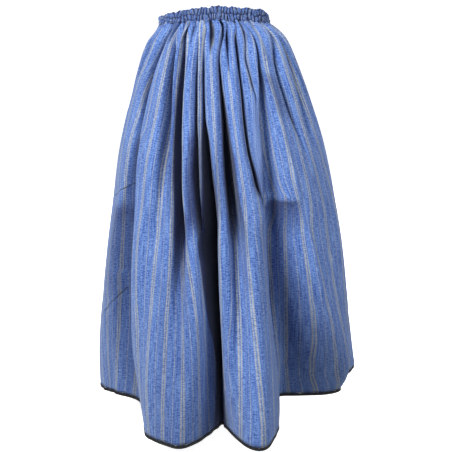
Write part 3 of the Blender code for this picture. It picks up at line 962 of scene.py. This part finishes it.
def remap(tree, value, fromLow, fromHigh, toLow, toHigh):
    ends = {"Value": value, "From Min": fromLow, "From Max": fromHigh, "To Min": toLow, "To Max": toHigh}
    return addNode(tree, "MapRange", ends, interpolation_type="SMOOTHSTEP").outputs["Result"]


def mixColours(tree, factor, first, second):
    node = addNode(tree, "Mix", data_type="RGBA")
    for place, value in ((0, factor), (6, first), (7, second)):  # the node's factor and its two colours
        put(tree, node.inputs[place], value)
    return node.outputs[2]


def mapped(tree, vector, **places):
    return addNode(tree, "Mapping", {"Vector": vector, **places}).outputs["Vector"]


def noiseAt(tree, vector, scale, detail=2.0, rough=0.5):  # scale is repeats in a metre, across and down
    point = mapped(tree, vector, Scale=(*scale, 1))
    values = {"Vector": point, "Scale": 1, "Detail": detail, "Roughness": rough}
    return addNode(tree, "TexNoise", values).outputs["Fac"]


# Stripes woven into the cloth: two close bands, a space, a pinstripe, a space. Values in metres.
stripes = {
    "repeat": 0.040,
    "lines": ((0.0015, 0.0015, 1.0), (0.0065, 0.0015, 1.0), (0.0250, 0.0007, 0.85)),
    "soft": 0.0004,
}
stripeGroup, stripeIn, stripeOut = newGroup(
    "wovenStripes",
    (("Across", "NodeSocketFloat", 0.0), ("Ragged", "NodeSocketFloat", 0.5)),
    (("Stripe", "NodeSocketFloat"),),
)
jitter = sums(stripeGroup, "MULTIPLY", sums(stripeGroup, "SUBTRACT", stripeIn.outputs["Ragged"], 0.5), 0.0012)
across = sums(stripeGroup, "ADD", stripeIn.outputs["Across"], jitter)
place = sums(stripeGroup, "FLOORED_MODULO", across, stripes["repeat"])
total = None
for centre, half, strength in stripes["lines"]:
    away = sums(stripeGroup, "ABSOLUTE", sums(stripeGroup, "SUBTRACT", place, centre))
    line = remap(stripeGroup, away, half - stripes["soft"], half + stripes["soft"], strength, 0.0)
    total = line if total is None else sums(stripeGroup, "MAXIMUM", total, line)
stripeGroup.links.new(total, stripeOut.inputs["Stripe"])

# Heather of the yarn: repeats in a metre across and down, and share of each; thread spacing in metres
heather = {
    "warp": ((620, 16), 0.26),
    "weft": ((95, 620), 0.36),
    "fleck": ((360, 520), 0.38),
    "thread": 0.0009,
}
weaveGroup, weaveIn, weaveOut = newGroup(
    "heatherWeave",
    (("Cloth", "NodeSocketVector", None),),
    tuple((label, "NodeSocketFloat") for label in ("Heather", "Ragged", "Drift", "Threads")),
)
clothPoint = weaveIn.outputs["Cloth"]
warpLines = noiseAt(weaveGroup, clothPoint, heather["warp"][0])
weftSlubs = noiseAt(weaveGroup, clothPoint, heather["weft"][0])
flecks = noiseAt(weaveGroup, clothPoint, heather["fleck"][0], 3, 0.6)
yarns = ((warpLines, heather["warp"][1]), (weftSlubs, heather["weft"][1]), (flecks, heather["fleck"][1]))
parts = addNode(weaveGroup, "SeparateXYZ", {"Vector": clothPoint})
threadTurns = 2 * math.pi / heather["thread"]
warpWave = sums(weaveGroup, "SINE", sums(weaveGroup, "MULTIPLY", parts.outputs["X"], threadTurns))
weftWave = sums(weaveGroup, "SINE", sums(weaveGroup, "MULTIPLY", parts.outputs["Y"], threadTurns))
for label, value in (
    ("Heather", remap(weaveGroup, weighted(weaveGroup, *yarns), 0.42, 0.58, 0.0, 1.0)),
    ("Ragged", noiseAt(weaveGroup, clothPoint, (140, 420))),
    ("Drift", noiseAt(weaveGroup, clothPoint, (9, 3))),
    ("Threads", weighted(weaveGroup, (warpWave, weftWave), (warpLines, 1.2))),
):
    weaveGroup.links.new(value, weaveOut.inputs[label])


# Painted shade along thin sharp creases at the photo's left: points across and down the cloth in metres
creaseShadeLines = (
    ((0.0440, 0.440), (0.1000, 0.4175), (0.1500, 0.3920)),
    ((0.0400, 0.771), (0.0850, 0.7300), (0.1400, 0.6660)),
)
creaseGroup, creaseIn, creaseOut = newGroup(
    "creaseShadeLines", (("Cloth", "NodeSocketVector", None),), (("Mask", "NodeSocketFloat"),)
)
creasePoint = creaseIn.outputs["Cloth"]
nearest = None
for path in creaseShadeLines:
    for (startX, startY), (endX, endY) in zip(path[:-1], path[1:]):
        span = (endX - startX, endY - startY, 0.0)
        fromStart = vectorSum(creaseGroup, "SUBTRACT", creasePoint, (startX, startY, 0.0))
        share = vectorSum(creaseGroup, "DOT_PRODUCT", fromStart, span)
        share = sums(creaseGroup, "DIVIDE", share, span[0] ** 2 + span[1] ** 2, clamp=True)
        onLine = vectorSum(creaseGroup, "SCALE", span, share)
        away = vectorSum(creaseGroup, "DISTANCE", fromStart, onLine)
        nearest = away if nearest is None else sums(creaseGroup, "MINIMUM", nearest, away)
creaseGroup.links.new(remap(creaseGroup, nearest, 0.0008, 0.0026, 1.0, 0.0), creaseOut.inputs["Mask"])


def newMaterial(name, finish):
    material = bpy.data.materials.new(name)
    material.use_nodes = True
    shader = material.node_tree.nodes["Principled BSDF"]
    for label, value in finish.items():
        shader.inputs[label].default_value = value
    return material, material.node_tree, shader


def clothMap(tree, **places):  # the piece's own cloth map, in metres
    return mapped(tree, addNode(tree, "UVMap", uv_map="cloth").outputs["UV"], **places)


def addGroup(tree, group, **inputs):
    return addNode(tree, "Group", inputs, node_tree=group)


def raiseThreads(tree, shader, threads, strength, distance):
    bump = addNode(tree, "Bump", {"Strength": strength, "Distance": distance, "Height": threads})
    tree.links.new(bump.outputs["Normal"], shader.inputs["Normal"])


clothFinish = {
    "Roughness": 0.82,
    "Specular IOR Level": 0.25,
    "Sheen Weight": 0.18,
    "Sheen Roughness": 0.5,
    "Sheen Tint": (0.75, 0.84, 1.0, 1),
}
# Painted shade: deep in a fold the cloth's colour is darkened toward this tint, where foldShade is between
# these values
shadeTint = {"starts": 0.25, "full": 0.95, "tint": (0.028, 0.050, 0.160, 1)}


def clothMaterial(name, size, tones, shift, withCreaseShade=False):
    # size is the cloth's width and length in metres; tones are deep, pale and stripe colours
    material, tree, shader = newMaterial(name, clothFinish)
    cloth = clothMap(tree, Scale=(*size, 1), Location=(shift, 0, 0))
    weave = addGroup(tree, weaveGroup, Cloth=cloth)
    apart = addNode(tree, "SeparateXYZ", {"Vector": cloth})
    stripe = addGroup(tree, stripeGroup, Across=apart.outputs["X"], Ragged=weave.outputs["Ragged"])
    blue = mixColours(tree, weave.outputs["Heather"], (*tones["deep"], 1), (*tones["pale"], 1))
    pale = mixColours(tree, weave.outputs["Heather"], (*tones["stripeDim"], 1), (*tones["stripe"], 1))
    worn = remap(tree, weave.outputs["Ragged"], 0.25, 0.6, 0.6, 0.95)
    colour = mixColours(tree, sums(tree, "MULTIPLY", stripe.outputs["Stripe"], worn), blue, pale)
    drift = remap(tree, weave.outputs["Drift"], 0.3, 0.7, 0.93, 1.07)
    # painted shade: the foldShade attribute darkens the colour toward the shade tint
    shade = addNode(tree, "Attribute", attribute_name="foldShade")
    darkness = remap(tree, shade.outputs["Fac"], shadeTint["starts"], shadeTint["full"], 0.0, 1.0)
    shadedColour = vectorSum(tree, "MULTIPLY", colour, mixColours(tree, darkness, (1, 1, 1, 1), shadeTint["tint"]))
    # painted shade darkens the colour along the sharp creases
    if withCreaseShade:
        crease = addGroup(tree, creaseGroup, Cloth=cloth)
        drift = sums(tree, "MULTIPLY", drift, remap(tree, crease.outputs["Mask"], 0.0, 1.0, 1.0, 0.35))
    tree.links.new(vectorSum(tree, "SCALE", shadedColour, drift), shader.inputs["Base Color"])
    raiseThreads(tree, shader, weave.outputs["Threads"], 0.5, 0.00025)
    return material


clothTones = {
    "deep": (0.014, 0.052, 0.262),
    "pale": (0.152, 0.270, 0.572),
    "stripeDim": (0.172, 0.195, 0.236),
    "stripe": (0.400, 0.422, 0.408),
}
flatSize = (form["panelWide"], form["panelLong"])
panelFront.data.materials.append(clothMaterial("clothFront", flatSize, clothTones, 0.0, withCreaseShade=True))
panelBack.data.materials.append(clothMaterial("clothBack", flatSize, clothTones, 0.013))
waistPiece.data.materials.append(clothMaterial("clothBand", band["clothSize"], clothTones, 0.0))

tape = {"deep": (0.003, 0.003, 0.004, 1), "pale": (0.011, 0.011, 0.013, 1), "turn": math.radians(45)}
tapeMaterial, tree, shader = newMaterial("bindingTape", {"Roughness": 0.75, "Specular IOR Level": 0.15})
tapeWeave = addGroup(tree, weaveGroup, Cloth=clothMap(tree, Rotation=(0, 0, tape["turn"])))
tapeColour = mixColours(tree, tapeWeave.outputs["Heather"], tape["deep"], tape["pale"])
tree.links.new(tapeColour, shader.inputs["Base Color"])
raiseThreads(tree, shader, tapeWeave.outputs["Threads"], 0.5, 0.0002)
hemPiece.data.materials.append(tapeMaterial)
print("materials made")

for piece, node, slotName in (
    (panelFront, "skirt_front", "cloth"),
    (panelBack, "skirt_back", "cloth"),
    (waistPiece, "waistband", "band"),
    (hemPiece, "hem_binding", "binding"),
):
    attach(piece, "root")
    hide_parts(node)

# Studio: a wide pale round room, so that every side has the same plain floor and background
studio = {"floor": -1.0, "top": 7.0, "radius": 10.0, "glow": 0.07}
bpy.ops.mesh.primitive_cylinder_add(
    vertices=128,
    radius=studio["radius"],
    depth=studio["top"] - studio["floor"],
    location=(0, 0, (studio["top"] + studio["floor"]) / 2),
)
floor = bpy.context.active_object
floor.name = "studioRoom"
floor.data.name = "studioRoom"
bpy.ops.object.transform_apply(location=True)
bpy.ops.object.mode_set(mode="EDIT")
bpy.ops.mesh.select_all(action="SELECT")
bpy.ops.mesh.flip_normals()
bpy.ops.object.mode_set(mode="OBJECT")
floor.select_set(False)
paperFinish = {
    "Base Color": (0.85, 0.85, 0.85, 1),
    "Roughness": 0.9,
    "Emission Color": (1, 1, 1, 1),
    "Emission Strength": 0.93,
}
floor.data.materials.append(newMaterial("studioPaper", paperFinish)[0])
floor.visible_diffuse = False


def softLight(name, place, target, size, power, colour):
    data = bpy.data.lights.new(name, "AREA")
    data.shape = "RECTANGLE"
    data.size, data.size_y = size
    data.energy = power
    data.color = colour
    lamp = addObject(name, data)
    lamp.location = place
    lamp.rotation_euler = (Vector(target) - Vector(place)).to_track_quat("-Z", "Y").to_euler()


softLight("keyLeft", (-1.95, -2.7, 2.1), (0, 0, -0.25), (1.6, 1.6), 282, (1.0, 0.99, 0.97))
softLight("fillFront", (0.6, -3.6, 0.7), (0, 0, -0.5), (1.6, 1.6), 14, (0.96, 0.98, 1.0))
softLight("rimRight", (2.6, -1.6, 0.5), (0, 0, -0.4), (1.2, 1.8), 58, (0.98, 0.99, 1.0))
softLight("backSoft", (1.3, 3.6, 1.3), (0, 0, -0.4), (1.6, 1.6), 150, (0.99, 0.99, 1.0))
world = bpy.data.worlds.new("studioWorld")
bpy.context.scene.world = world
world.use_nodes = True
for label, value in {"Color": (1, 1, 1, 1), "Strength": studio["glow"]}.items():
    world.node_tree.nodes["Background"].inputs[label].default_value = value
print("studio made")
